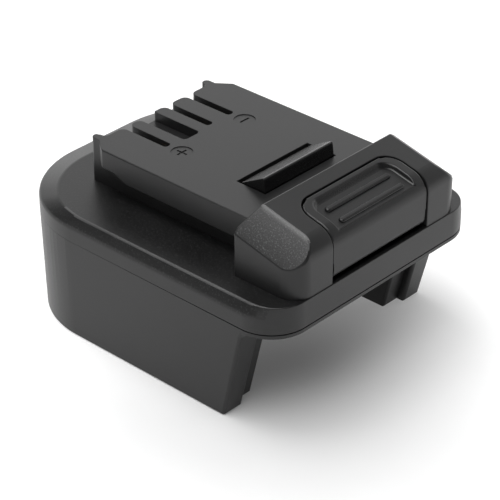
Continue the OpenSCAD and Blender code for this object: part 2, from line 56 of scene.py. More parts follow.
# Heights and places on the adapter, in millimetres
PARTING_Z = 29.6
GROOVE_H = 0.35
GROOVE_SLIM = 0.29
GROOVE_RUN = 60
BEVEL_Z = 33.9
FLANGE_Z = 37.05
DECK_Z = 49.9
FRONT_X = 50.25
HOOD_REAR_X = 29.45
DECK_REAR_X = -27.85
RAIL_LOW_Z = 42.0
RAIL_EDGE_Y = 24.9
NECK_Y = 21.9
LONG_SIDE_Y = 36
REAR_MORE = 0.5
HOOD_SLOPE = math.radians(13.3)
HOOD_HW = 32.0
HOOD_FRONT_X = 50.0
HOOD_BACK_X = 29.38
KNEE_Z = 50.3
TOP_X = 32.1
TOP_Z = 55.3
FACET_Y = 24.4
FACET_DROP = math.radians(41.3)
FACET_EASE = 0.18
FACET_MID = 5.0
FACET_CROWN = 0.25
FACET_STEPS = ((0.25, 0.12), (0.3, 0.06))
FACET_STRIPS = (1.4, 2.6, 3.8, 5.0, 6.2, 7.4, 8.6)
# width over which the painted highlight along the facet's top edge fades out
EDGE_HIGHLIGHT_W = 1.7
WALL = 2.4
ARM_PASSAGE = ((28, -19.9, 36), (33, 19.9, 47.6))
HOOD_PLACE_MID = (44.42, 0, 48.5)
HOOD_PLACE_SIZE = (30, 90, 22.9)
OPEN_X = 36.45
OPEN_HW = 18.4
OPEN_R = 5.5
PRESS_TILT = math.radians(15)
DISH_SINK = 1.2
DISH_HW = 14.6
DISH_CORNER_Y = 11.6
DISH_CORNER_RUN = 3
DISH_END_LEAN = 0.8
DISH_END_STEEPER = 0.45
LATCH_WAIST_X = 28.0
RIDGE_Z = 53
RIDGE_HW = 13
BUTTON_LOW_Z = 44.0
RIM_Y = 17.9
RIM_X = 5.6
RIB_SINK = 0.5
RIB_XS = (10.4, 15.1)
RIB_END_Y = (9.8, 10.9)
RIB_REACH_Y = 12.5
RIB_MORE = 1.4
CAP_FRONT_X = 49.7
CAD_FOOT_Z = 38.9
CAD_FOOT_R = 1.2
FOOT_Z = 37.6
FOOT_R = 2.2
CAD_NOTCH_Y = 15.8
NOTCH_Y = 17.8
CAD_FOOT_SLOT_Y = 17.4
FOOT_SLOT_Y = 18.2
SIGN_X = -7.35
SIGN_Y = 12.0
SIGN_R = 3.0
SIGN_SINK = 0.22
SIGN_BAR = 0.3
SIGN_ARM = 1.4
SLOT_FRONT_X = -12.65
SLOT_YS = (-12.0, 4.0, 12.0)
SLOT_MORE = 0.5
LAND_R = 1.8
LAND_Y = -1.075
LAND_SQUARE = 0.7
LEG_FRONT_X = 20
LEG_HIGH_Z = 27
LEG_INNER_Y = 26.4
CHANNEL_SEAM_X = 14
SHELL_SCREW_XS = (-18, 22)
SHELL_SCREW_Y = 33.2
SHELL_SCREW_Z = 20.4
BOARD_SCREW_X = 0.5
BOARD_SCREW_Y = 15.7
BOARD_SCREW_Z = 34.95
BLOCK_SCREW_X = -33.5
BLOCK_SCREW_Y = 22.6
BLOCK_SCREW_Z = 33.2
SEAT_X = 26.888
SEAT_Z = 32.4
SPRING_Y = 9.5
SPRING_L = 13.67
COIL_R = 2.8
WIRE_R = 0.4
END_PITCH = 0.85
OPEN_TURNS = 6
COIL_STEPS = 24
MIDDLE = ((0, 0, 0), (0, 1, 0))

# Widths of the rounded edges, in millimetres
DECK_EASE = 0.14
SIDE_EASE = 0.42
OPEN_EASE = 0.3
BEVEL_EASE = 0.8
FLANGE_EASE = 0.2
FLANGE_EASE_MORE = 0.25
FLANGE_EASE_RUN = 9.5
SOLE_EASE = 0.3
LEG_EASE = 0.9
RIDGE_EASE = 0.45
WEDGE_EASE = 0.25
FOOT_EASE = 0.3
RIB_EASE = 0.6
RIM_EASE = 0.45
DISH_EASE = 0.35
HOLLOW_EASE = 0.45

# Values of the finishes and of the studio
PLASTIC_IOR = 1.43
# colour of the painted highlight along the facet's top edge
EDGE_HIGHLIGHT_GREY = 0.15
FLOOR_R = 6.0
FLOOR_Z = -0.0002
# middle of the painted shadow on the floor
PAINTED_SHADOW_MID = (0.045, -0.02, 0)
SWEEP_WAY = (-0.45, 0.89, 0.0)
FRONT_KEY_WAY = (0.04, -0.37, 0.93)
TOP_LAMP_WAY = (-0.32, -0.06, 0.945)
SWEEP_LIGHT = 1.26
FRONT_KEY_LIGHT = 3.5
TOP_LAMP_LIGHT = 4.0

# The hood's corners, by the walls that meet there, with their rounding
HOOD_CORNERS = [(("top", "front", "side"), 5.5), (("foot", "front", "side"), 5.8),
                (("slope", "top", "side"), 0.7), (("slope", "rear", "side"), 0.5),
                (("foot", "rear", "side"), 0.8)]


# Hood facets

def facet_plane(side):
    """A point and the outward normal of a hood facet."""
    n = Vector((math.sin(HOOD_SLOPE) * math.cos(FACET_DROP), side * math.sin(FACET_DROP),
                math.cos(HOOD_SLOPE) * math.cos(FACET_DROP)))
    return Vector((TOP_X, side * FACET_Y, TOP_Z)), n


def facet_down(side):
    """The direction straight down a hood facet from its top edge."""
    return Vector((-math.sin(FACET_DROP) * math.sin(HOOD_SLOPE), side * math.cos(FACET_DROP),
                   -math.sin(FACET_DROP) * math.cos(HOOD_SLOPE)))


# Shader building

class Socket:
    """A shader output that takes part in Python arithmetic through Math nodes."""

    def __init__(self, tree, link):
        self.tree = tree
        self.link = link

    def math(self, operation, *others):
        n = self.tree.nodes.new("ShaderNodeMath")
        n.operation = operation
        for socket, value in zip(n.inputs, (self, *others)):
            plug(self.tree, socket, value)
        return Socket(self.tree, n.outputs[0])

    def __add__(self, other):
        return self.math("ADD", other)

    def __radd__(self, other):
        return self.math("ADD", other)

    def __sub__(self, other):
        return self.math("SUBTRACT", other)

    def __mul__(self, other):
        return self.math("MULTIPLY", other)


def plug(tree, socket, value):
    """Sets a node's input to a link or to a plain value."""
    if isinstance(value, Socket):
        tree.links.new(value.link, socket)
    else:
        socket.default_value = value


class Shader:
    """A node tree of a material or of the world, with one way to add a node."""

    def __init__(self, tree):
        self.tree = tree
        tree.nodes.clear()

    def node(self, kind, settings=None, out=0, **inputs):
        n = self.tree.nodes.new(kind)
        for name, value in (settings or {}).items():
            setattr(n, name, value)
        for name, value in inputs.items():
            key = int(name[1:]) if name[0] == "i" and name[1:].isdigit() else name.replace("_", " ")
            plug(self.tree, n.inputs[key], value)
        return Socket(self.tree, n.outputs[out]) if n.outputs else None

    def noise(self, vector, scale, detail=2.0, rough=0.5):
        return self.node("ShaderNodeTexNoise", {"noise_dimensions": "3D"}, Vector=vector, Scale=scale,
                         Detail=detail, Roughness=rough)

    def ramp(self, value, low, high, to_low=0.0, to_high=1.0):
        return self.node("ShaderNodeMapRange", {"interpolation_type": "SMOOTHSTEP"}, Value=value,
                         From_Min=low, From_Max=high, To_Min=to_low, To_Max=to_high)

    def tint(self, factor, dark, light):
        return self.node("ShaderNodeMix", {"data_type": "RGBA"}, out=2, i0=factor, i6=dark, i7=light)


def grey(value, blue=1.0):
    return (value, value, value * blue, 1.0)


def plastic(name, dark, light, rough, grain_scale, grain_depth, painted_sparkle=0.0, edge_highlight=None):
    """Moulded black plastic: a fine spark-eroded grain, painted glints, faint flow clouds and small gloss
    changes.

    Its last argument is a direction and a place along it, in metres, from which a painted highlight along an
    edge fades out.
    """
    mat = bpy.data.materials.new(name)
    mat.use_nodes = True
    s = Shader(mat.node_tree)
    place = s.node("ShaderNodeTexCoord", out=3)
    grain = s.noise(place, grain_scale, 3.0, 0.6)
    clouds = s.noise(place, 55.0, 2.0)
    pits = s.node("ShaderNodeTexVoronoi", {"feature": "F1"}, Vector=place, Scale=grain_scale * 0.8)
    # painted glints: bright specks in the base colour, standing in for the sparkle of the grain in the light
    painted_glints = s.ramp(grain, 0.53, 0.70)
    base = s.tint(s.ramp(clouds, 0.3, 0.7) * (0.6 - 0.5 * painted_sparkle) + painted_glints * painted_sparkle, dark, light)
    if edge_highlight:
        way, edge = edge_highlight
        both_sides = s.node("ShaderNodeVectorMath", {"operation": "ABSOLUTE"}, i0=place)
        along = s.node("ShaderNodeVectorMath", {"operation": "DOT_PRODUCT"}, out=1, i0=both_sides, i1=way)
        # painted highlight: a lighter colour along the facet's top edge, in place of the light it catches
        # there
        painted_highlight = s.ramp(along, edge, edge + EDGE_HIGHLIGHT_W * MM, 1.0, 0.0) * (0.6 + painted_glints * 0.4)
        base = s.tint(painted_highlight, base, grey(EDGE_HIGHLIGHT_GREY))
    gloss = rough + (clouds - 0.5) * 0.08 + (grain - 0.5) * 0.18
    height = grain * 0.7 + pits * 0.3
    bump = s.node("ShaderNodeBump", Strength=1.0, Distance=grain_depth * MM, Height=height)
    bsdf = s.node("ShaderNodeBsdfPrincipled", Base_Color=base, Roughness=gloss, Normal=bump, IOR=PLASTIC_IOR)
    s.node("ShaderNodeOutputMaterial", Surface=bsdf)
    return mat


def metal(name, dark, light, rough, brush_scale, streak=(1.0, 1.0, 12.0)):
    """Plated or drawn metal with fine drawing lines and a little tarnish."""
    mat = bpy.data.materials.new(name)
    mat.use_nodes = True
    s = Shader(mat.node_tree)
    place = s.node("ShaderNodeTexCoord", out=3)
    along = s.node("ShaderNodeMapping", Vector=place, Scale=streak)
    lines = s.noise(along, brush_scale, 3.0)
    tarnish = s.noise(place, 180.0, 3.0)
    base = s.tint(s.ramp(tarnish, 0.35, 0.7), dark, light)
    gloss = rough + (lines - 0.5) * 0.25
    bump = s.node("ShaderNodeBump", Strength=0.4, Distance=0.01 * MM, Height=lines)
    bsdf = s.node("ShaderNodeBsdfPrincipled", Base_Color=base, Roughness=gloss, Normal=bump, Metallic=1.0)
    s.node("ShaderNodeOutputMaterial", Surface=bsdf)
    return mat


def board_laminate():
    """Green solder mask over faint copper tracks, on glass laminate."""
    mat = bpy.data.materials.new("board_laminate")
    mat.use_nodes = True
    s = Shader(mat.node_tree)
    place = s.node("ShaderNodeTexCoord", out=3)
    weave = s.node("ShaderNodeTexWave", {"wave_type": "BANDS", "bands_direction": "X"}, Vector=place,
                   Scale=900.0, Distortion=1.5)
    tracks = s.node("ShaderNodeTexBrick", out=1, Vector=place, Scale=160.0, Mortar_Size=0.06)
    base = s.tint(tracks * 0.5 + weave * 0.08, (0.012, 0.085, 0.035, 1.0), (0.05, 0.2, 0.09, 1.0))
    bump = s.node("ShaderNodeBump", Strength=0.5, Distance=0.02 * MM, Height=tracks)
    bsdf = s.node("ShaderNodeBsdfPrincipled", Base_Color=base, Roughness=0.32 + weave * 0.08, Normal=bump)
    s.node("ShaderNodeOutputMaterial", Surface=bsdf)
    return mat


shell_satin = plastic("shell_satin", grey(0.010, 1.02), grey(0.014, 1.02), 0.39, 5200.0, 0.008)
# the flange grain and the facet grain carry painted glints in their base colour
shell_grain = plastic("shell_grain", grey(0.004, 1.02), grey(0.022, 1.02), 0.40, 2000.0, 0.022, 1.0)
facet_grain = plastic("facet_grain", grey(0.008, 1.02), grey(0.068, 1.02), 0.40, 2700.0, 0.055, 1.0,
                      edge_highlight=(facet_down(1), facet_down(1).dot(facet_plane(1)[0]) * MM))
# a lighter plastic for edge strips of the flange and the button rim: a painted edge highlight
painted_edge_highlight = plastic("painted_edge_highlight", grey(0.045), grey(0.080), 0.38, 3000.0, 0.010)
skirt_satin = plastic("skirt_satin", grey(0.010, 1.02), grey(0.014, 1.02), 0.40, 4200.0, 0.010)
latch_satin = plastic("latch_satin", grey(0.008, 1.02), grey(0.012, 1.02), 0.41, 6000.0, 0.006)
wedge_gloss = plastic("wedge_gloss", grey(0.008, 1.02), grey(0.012, 1.02), 0.25, 6000.0, 0.003)
block_nylon = plastic("block_nylon", grey(0.03), grey(0.042), 0.5, 3200.0, 0.02)
chip_black = plastic("chip_black", grey(0.01), grey(0.02), 0.4, 9000.0, 0.005)
lead_red = plastic("lead_red", (0.30, 0.012, 0.010, 1), (0.42, 0.022, 0.016, 1), 0.38, 3000.0, 0.01)
lead_black = plastic("lead_black", grey(0.010), grey(0.016), 0.38, 3000.0, 0.01)
lead_yellow = plastic("lead_yellow", (0.55, 0.33, 0.02, 1), (0.70, 0.45, 0.04, 1), 0.38, 3000.0, 0.01)
spring_steel = metal("spring_steel", grey(0.45), grey(0.62), 0.26, 900.0)
clip_brass = metal("clip_brass", (0.55, 0.38, 0.14, 1), (0.72, 0.53, 0.24, 1), 0.30, 700.0, (1.0, 9.0, 9.0))
blade_nickel = metal("blade_nickel", (0.58, 0.56, 0.50, 1), (0.74, 0.72, 0.67, 1), 0.24, 800.0,
                     (1.0, 9.0, 9.0))
screw_zinc = metal("screw_zinc", grey(0.36), grey(0.52), 0.34, 600.0, (1.0, 1.0, 1.0))
laminate = board_laminate()


# Mesh building, in millimetres until a piece is finished

def merged_copy(node, seams=()):
    """A CAD node's mesh in millimetres, merged, its flat faces joined up to the planes in seams."""
    bm = bmesh.new()
    bm.from_mesh(nodes[node].data)
    bmesh.ops.scale(bm, vec=(1 / MM,) * 3, verts=bm.verts)
    bmesh.ops.remove_doubles(bm, verts=bm.verts, dist=0.02)
    bmesh.ops.dissolve_degenerate(bm, dist=0.005, edges=bm.edges)
    for v in bm.verts:
        v.co = [round(c, 3) for c in v.co]
    for point, normal in seams:
        made = bmesh.ops.bisect_plane(bm, geom=bm.verts[:] + bm.edges[:] + bm.faces[:], dist=0.001,
                                      plane_co=point, plane_no=normal)
        for part in made["geom_cut"]:
            if isinstance(part, bmesh.types.BMEdge):
                part.seam = True
    bmesh.ops.dissolve_limit(bm, angle_limit=math.radians(0.5), use_dissolve_boundaries=False,
                             verts=bm.verts, edges=bm.edges, delimit={"SEAM"})
    return bm


def as_object(bm, name):
    mesh = bpy.data.meshes.new(name)
    bm.to_mesh(mesh)
    bm.free()
    obj = bpy.data.objects.new(name, mesh)
    bpy.context.scene.collection.objects.link(obj)
    return obj


def applied(obj):
    """The object's mesh with its modifiers applied, in place of the old mesh."""
    evaluated = obj.evaluated_get(bpy.context.evaluated_depsgraph_get())
    mesh = bpy.data.meshes.new_from_object(evaluated)
    obj.modifiers.clear()
    obj.data = mesh
    return obj


def combine(obj, tool, operation):
    """Cuts the tool's shape out of the object, or joins it on, and drops the tool."""
    m = obj.modifiers.new("combine", "BOOLEAN")
    m.operation = operation
    m.solver = "EXACT"
    m.object = tool
    applied(obj)
    bpy.data.objects.remove(tool)


def soften(bm, name, width_at, widest, segments=3, hollow_at=None):
    """Rounds each sharp edge by the width its rule gives for its middle and its two faces."""
    weight = bm.edges.layers.float.new("bevel_weight_edge")
    for edge in bm.edges:
        rule = width_at if edge.is_convex else hollow_at
        if rule and len(edge.link_faces) == 2 and edge.calc_face_angle() > math.radians(18):
            middle = (edge.verts[0].co + edge.verts[1].co) / 2
            edge[weight] = rule(middle, *(f.normal for f in edge.link_faces)) / widest
    obj = as_object(bm, name)
    m = obj.modifiers.new("soften", "BEVEL")
    m.width = widest
    m.limit_method = "WEIGHT"
    m.segments = segments
    m.profile = 0.5
    m.use_clamp_overlap = False
    m.loop_slide = False
    return applied(obj)


def reopened(obj):
    """The mesh of an object as a bmesh again; the object is dropped."""
    bm = bmesh.new()
    bm.from_mesh(obj.data)
    bpy.data.objects.remove(obj)
    return bm


def block(low, high):
    """A box between two corners."""
    bm = bmesh.new()
    size = Vector(high) - Vector(low)
    bmesh.ops.create_cube(bm, size=1.0, matrix=Matrix.Translation((Vector(low) + Vector(high)) / 2)
                          @ Matrix.Diagonal((*size, 1.0)))
    return bm


def finish_piece(obj, body, slot, *materials, replaces=(), pick=None, sharp=38):
    """Puts a millimetre mesh into metres, with its materials, shading and body."""
    mesh = obj.data
    mesh.transform(Matrix.Scale(MM, 4))
    for layer in ("custom_normal", "sharp_edge", "sharp_face"):
        if layer in mesh.attributes:
            mesh.attributes.remove(mesh.attributes[layer])
    mesh.materials.clear()
    for material in materials:
        mesh.materials.append(material)
    if pick:
        for face in mesh.polygons:
            face.material_index = pick(face.center / MM, face.normal)
    mesh.shade_smooth()
    mesh.set_sharp_from_angle(angle=math.radians(sharp))
    m = obj.modifiers.new("even_normals", "WEIGHTED_NORMAL")
    m.keep_sharp = True
    m.weight = 100
    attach(obj, body)
    if replaces:
        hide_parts(*replaces)


# Hood of the upper shell

def hood_top(x):
    return TOP_Z - (x - TOP_X) * math.tan(HOOD_SLOPE)


def hood_form(inset):
    """The hood's closed outside as the hull of balls set in its corners; with an inset, its plain inside."""
    slope = Vector((-(TOP_Z - KNEE_Z), 0, TOP_X - HOOD_BACK_X)).normalized()
    top = Vector((math.sin(HOOD_SLOPE), 0, math.cos(HOOD_SLOPE)))
    crest = Vector((TOP_X, 0, TOP_Z))
    walls = {"top": (top, crest), "slope": (slope, crest),
             "front": (Vector((1, 0, 0)), Vector((HOOD_FRONT_X, 0, 0))),
             "rear": (Vector((-1, 0, 0)), Vector((HOOD_BACK_X, 0, 0))),
             "foot": (Vector((0, 0, -1)), Vector((0, 0, FLANGE_Z - 10)))}
    bm = bmesh.new()

    def ball(centre, radius):
        bmesh.ops.create_icosphere(bm, subdivisions=4, radius=radius, matrix=Matrix.Translation(centre))
        for normal, _ in walls.values():
            bm.verts.new(centre + radius * normal)

    for side in (-1, 1):
        walls["side"] = (Vector((0, side, 0)), Vector((0, side * HOOD_HW, 0)))
        for names, outer in HOOD_CORNERS:
            radius = max(outer - inset, 0.4)
            faces = [walls[name] for name in names]
            reach = Vector([normal.dot(point) - radius - inset for normal, point in faces])
            ball(Matrix([normal for normal, _ in faces]).inverted() @ reach, radius)
    made = bmesh.ops.convex_hull(bm, input=bm.verts)
    bmesh.ops.delete(bm, geom=list(set(made["geom_interior"] + made["geom_unused"])), context="VERTS")
    bmesh.ops.dissolve_limit(bm, angle_limit=math.radians(0.4), use_dissolve_boundaries=False, verts=bm.verts,
                             edges=bm.edges, delimit=set())
    sliced_off(bm, (0, 0, FLANGE_Z - 0.05 - inset), (0, 0, -1))
    for side in (-1, 1):
        corner, out = facet_plane(side)
        face = sliced_off(bm, corner - (inset + FACET_EASE) * out, out)
        if not inset:
            crown_facet(bm, face, side)
    bmesh.ops.recalc_face_normals(bm, faces=bm.faces)
    return bm


def sliced_off(bm, point, normal):
    """Cuts a closed form off at a plane and gives the flat face that closes it."""
    cut = bmesh.ops.bisect_plane(bm, geom=bm.verts[:] + bm.edges[:] + bm.faces[:], dist=0.001, plane_co=point,
                                 plane_no=normal, clear_outer=True)
    corners = [part for part in cut["geom_cut"] if isinstance(part, bmesh.types.BMVert)]
    bmesh.ops.remove_doubles(bm, verts=corners, dist=0.08)
    face = bmesh.ops.contextual_create(bm, geom=[e for e in bm.edges if e.is_boundary])["faces"][0]
    face.normal_update()
    if face.normal.dot(Vector(normal)) < 0:
        face.normal_flip()
    return face


def crown_facet(bm, face, side):
    """Eases a facet's outline and crowns it a little from its top edge to its lower edge."""
    corner, out = facet_plane(side)
    down = facet_down(side)
    for width, rise in FACET_STEPS:
        bmesh.ops.inset_region(bm, faces=[face], thickness=width, depth=rise, use_even_offset=True)
    parts = [face, *face.edges, *face.verts]
    for drop in FACET_STRIPS:
        made = bmesh.ops.bisect_plane(bm, geom=parts, dist=0.001, plane_co=corner + drop * down,
                                      plane_no=down)
        parts = made["geom"]
    for v in {v for part in parts if isinstance(part, bmesh.types.BMFace) for v in part.verts}:
        across = ((v.co - corner).dot(down) - FACET_MID) / FACET_MID
        v.co += FACET_CROWN * max(0.0, 1 - across * across) * out


def opening_width(p, a, b):
    """Edge rounding round the button opening, seen from outside."""
    q = press_frame().inverted() @ p
    corner_x, corner_y = OPEN_R - q.x, abs(q.y) - (OPEN_HW - OPEN_R)
    if corner_x > 0 and corner_y > 0:
        off = math.hypot(corner_x, corner_y) - OPEN_R
    else:
        off = max(-q.x, abs(q.y) - OPEN_HW)
    outside = max(a.z, b.z) > 0.2 or max(a.x, b.x) > 0.3
    return OPEN_EASE if abs(off) < 0.05 and outside and p.z > FLANGE_Z + 0.2 else 0.0


def press_frame():
    """The frame of the button's press: its origin on the hood's top at the opening's rear edge."""
    return Matrix.Translation((OPEN_X, 0, hood_top(OPEN_X))) @ Matrix.Rotation(PRESS_TILT, 4, "Y")


def opening_tool():
    """What the button opening takes out of the hood."""
    bm = block((0, -OPEN_HW, -20), (40, OPEN_HW, 12))
    rear = [e for e in bm.edges if all(v.co.x < 0.1 for v in e.verts)
            and abs(e.verts[0].co.y - e.verts[1].co.y) < 0.1]
    bmesh.ops.bevel(bm, geom=rear, offset=OPEN_R, offset_type="OFFSET", segments=10, profile=0.5,
                    affect="EDGES", material=-1)
    bm.transform(press_frame())
    return as_object(bm, "opening_tool")


def hood():
    """The hood as a hollow moulding with its front fillet, facets and button opening."""
    made = as_object(hood_form(0.0), "hood_moulding")
    combine(made, opening_tool(), "DIFFERENCE")
    made = soften(reopened(made), "hood_moulding", opening_width, 1.0, segments=2)
    combine(made, as_object(hood_form(WALL), "hood_inside"), "DIFFERENCE")
    combine(made, as_object(block(*ARM_PASSAGE), "arm_passage"), "DIFFERENCE")
    return made


# Upper shell

def upper_width(p, a, b):
    """Edge rounding of the upper shell apart from the hood; it changes slowly along a line of edges."""
    if p.z < PARTING_Z + 0.3:
        return 0.0
    if abs(p.z - BEVEL_Z) < 0.1:
        return BEVEL_EASE
    if abs(p.z - FLANGE_Z) < 0.1 and not (40 < p.x < 50.1 and abs(p.y) < 30):
        return FLANGE_EASE + FLANGE_EASE_MORE * min(1.0, (FRONT_X - p.x) / FLANGE_EASE_RUN)
    if abs(p.z - DECK_Z) < 0.02 and max(a.z, b.z) > 0.99:
        return SIDE_EASE if max(abs(a.y), abs(b.y)) > 0.9 and abs(p.y) > RAIL_EDGE_Y else DECK_EASE
    if p.x < 29.4 and p.z > RAIL_LOW_Z and (abs(p.y) > NECK_Y or p.x < DECK_REAR_X + 1):
        return SIDE_EASE if abs(p.y) > RAIL_EDGE_Y and abs(a.z) + abs(b.z) < 0.1 else DECK_EASE
    if p.x < -27 and FLANGE_Z < p.z < DECK_Z:
        return DECK_EASE
    return 0.0


def deck_slots(bm):
    """Fits the deck's slots and rear end to the photograph, and widens the slot for the button's foot."""
    for v in bm.verts:
        if v.co.x > 43 and abs(abs(v.co.y) - CAD_FOOT_SLOT_Y) < 0.02:
            v.co.y = math.copysign(FOOT_SLOT_Y, v.co.y)
        end = min(abs(v.co.y - y) for y in SLOT_YS) < 1.2 and abs(v.co.x - SLOT_FRONT_X + 0.45) < 0.5
        if end and v.co.z > DECK_Z - 10.5:
            v.co.x += SLOT_MORE
        along, across = v.co.x - DECK_REAR_X, v.co.y - LAND_Y
        if -0.01 < along < LAND_R + 0.01 and -0.01 < across < LAND_R + 0.01 and v.co.z > DECK_Z - 4:
            v.co.x -= LAND_SQUARE * along
            v.co.y -= LAND_SQUARE * across
        rear = DECK_REAR_X - 4 < v.co.x < DECK_REAR_X + 3.5 and v.co.z > FLANGE_Z - 0.01
        if rear and not -20 < v.co.y < LAND_Y - 0.4:
            v.co.x -= REAR_MORE
    return bm


def sign_tools():
    """What the polarity signs take out of the deck: round recesses, with a plus and a minus in them."""
    both = bmesh.new()
    for side in (-1, 1):
        centre = Vector((SIGN_X, side * SIGN_Y, DECK_Z))
        disc = bmesh.new()
        bmesh.ops.create_cone(disc, cap_ends=True, segments=48, radius1=SIGN_R - SIGN_SINK / 2,
                              radius2=SIGN_R + SIGN_SINK / 2, depth=2 * SIGN_SINK,
                              matrix=Matrix.Translation(centre))
        bars = bmesh.new()
        hub = bmesh.ops.create_cube(bars, size=2.0, matrix=Matrix.Translation(centre - Vector((0, 0, 0.2)))
                                    @ Matrix.Diagonal((SIGN_BAR, SIGN_BAR, 0.3, 1)))
        for face in list({f for v in hub["verts"] for f in v.link_faces}):
            way = face.normal.copy()
            if abs(way.y) > 0.9 or side < 0 and abs(way.x) > 0.9:
                end = bmesh.ops.extrude_discrete_faces(bars, faces=[face])["faces"][0]
                bmesh.ops.translate(bars, verts=end.verts[:], vec=way * SIGN_ARM)
        sign = as_object(disc, "sign_recess")
        combine(sign, as_object(bars, "sign_bars"), "UNION")
        both.from_mesh(sign.data)
        bpy.data.objects.remove(sign)
    return both


def upper_face(p, n):
    """Which finish a face of the upper shell has: satin, flange grain, facet grain with a painted highlight
    at its top edge, or a painted edge highlight.
    """
    if p.z < FLANGE_Z + 0.2 and n.z > 0.2 and p.z > BEVEL_Z - 0.3:
        straight = abs(n.x) < 0.1 and abs(p.y) > LONG_SIDE_Y
        # the flange's straight edge strips take the painted edge highlight
        return 3 if straight and p.z > FLANGE_Z - 0.5 and n.z < 0.985 else 1
    if p.x > HOOD_REAR_X and abs(p.y) > FACET_Y - 0.2:
        side = math.copysign(1, p.y)
        corner, facet = facet_plane(side)
        # the strip at the facet's top edge takes the facet grain, whose colour carries a painted highlight
        # there
        top_edge = (p - corner).dot(facet_down(side)) < 0.7 and n.dot(facet) > 0.8
        return 2 if top_edge or n.dot(facet) > 0.99 else 0
    return 0


upper = soften(deck_slots(merged_copy("upper_shell", [MIDDLE])), "upper_shell_moulding", upper_width, 2.0)
cuts = sign_tools()
bmesh.ops.create_cube(cuts, size=1.0, matrix=Matrix.Translation(HOOD_PLACE_MID)
                      @ Matrix.Diagonal((*HOOD_PLACE_SIZE, 1)))
combine(upper, as_object(cuts, "upper_cuts"), "DIFFERENCE")
for piece in (upper, hood()):
    finish_piece(piece, SHELL, "shell_plastic", shell_satin, shell_grain, facet_grain, painted_edge_highlight,
                 replaces=["upper_shell"], pick=upper_face)


# Lower shell

def lower_width(p, a, b):
    """Edge rounding of the lower shell: soft feet and legs, crisp parting line."""
    if p.z > PARTING_Z - 1.2:
        return 0.0
    if p.z < 0.1:
        return SOLE_EASE
    if p.x > LEG_FRONT_X and p.z < LEG_HIGH_Z and abs(p.y) > LEG_INNER_Y:
        return LEG_EASE
    return 0.0


def slim_parting(bm):
    """Closes the groove under the parting line little by little towards the rear."""
    for v in bm.verts:
        if abs(v.co.z - PARTING_Z + GROOVE_H) < 0.02:
            v.co.z += GROOVE_SLIM * min(1.0, max(0.0, (FRONT_X - v.co.x) / GROOVE_RUN))
    return bm


lower_seams = [MIDDLE, ((0, SHELL_SCREW_Y, 0), (0, 1, 0)), ((0, -SHELL_SCREW_Y, 0), (0, 1, 0)),
               ((CHANNEL_SEAM_X, 0, 0), (1, 0, 0))]
lower = merged_copy("lower_shell", lower_seams)
lower = soften(slim_parting(lower), "lower_shell_moulding", lower_width, 2.0)
finish_piece(lower, SHELL, "skirt_plastic", skirt_satin, replaces=["lower_shell"])


# Release latch

def slope_frame():
    """The frame of the hood's top: its origin on the crest, its x axis down the slope."""
    return Matrix.Translation((TOP_X, 0, TOP_Z)) @ Matrix.Rotation(HOOD_SLOPE, 4, "Y")


def latch_width(p, a, b):
    """Edge rounding of the latch: the button's outline, its dish and ribs, and the wedge's ridge."""
    if p.x < LATCH_WAIST_X:
        if p.z < DECK_Z - 3:
            return 0.0
        return RIDGE_EASE if p.z > RIDGE_Z and abs(p.y) < RIDGE_HW else WEDGE_EASE
    q = press_frame().inverted() @ p
    if p.z < BUTTON_LOW_Z or max(a.z, b.z) < 0.3:
        return FOOT_EASE if p.x > 49 and p.z < 40 else 0.0
    s = slope_frame().inverted() @ p
    if abs(s.z + RIB_SINK) < 0.03 and abs(s.y) < RIB_REACH_Y:
        return RIB_EASE
    if abs(p.y) > RIM_Y or q.x < RIM_X:
        return RIM_EASE
    return DISH_EASE


def dish_hollow(p, a, b):
    """Rounding of the hollow line where the dish's sides rise from its floor."""
    s = slope_frame().inverted() @ p
    return HOLLOW_EASE if abs(s.z + DISH_SINK) < 0.03 and (abs(s.y) > 13 or s.x < 8.6) else 0.0


def steeper_dish(bm):
    """Stands the dish's two ends up more steeply than the CAD solid has them and lengthens its ribs."""
    to_slope = slope_frame().inverted()
    for v in bm.verts:
        s = to_slope @ v.co
        at_rib = min(abs(s.x - x) for x in RIB_XS) < 1 and -2.5 < s.z < -0.4
        if at_rib and RIB_END_Y[0] < abs(s.y) < RIB_END_Y[1]:
            v.co.y += math.copysign(RIB_MORE, s.y)
        end = DISH_HW + DISH_END_LEAN * (s.z + DISH_SINK)
        if s.x > 5 and -DISH_SINK < s.z < 0.05 and DISH_CORNER_Y < abs(s.y) < end + 0.03:
            share = min(1.0, (abs(s.y) - DISH_CORNER_Y) / DISH_CORNER_RUN)
            v.co.y -= math.copysign(DISH_END_STEEPER * (s.z + DISH_SINK) * share, s.y)
    return bm


def full_foot(bm):
    """Lets the button's front wall reach lower and wider than the CAD solid's, with a rounder lower edge."""
    for v in bm.verts:
        if v.co.x < 47.2 or v.co.z > 42.5:
            continue
        if abs(abs(v.co.y) - CAD_NOTCH_Y) < 0.02:
            v.co.y = math.copysign(NOTCH_Y, v.co.y)
        ahead = (v.co.x - CAP_FRONT_X) / CAD_FOOT_R + 1
        below = (v.co.z - CAD_FOOT_Z) / CAD_FOOT_R - 1
        if below < 0.01:
            v.co.z = FOOT_Z + FOOT_R * (1 + below)
            if ahead > -0.01:
                v.co.x = CAP_FRONT_X + FOOT_R * (ahead - 1)
    return bm


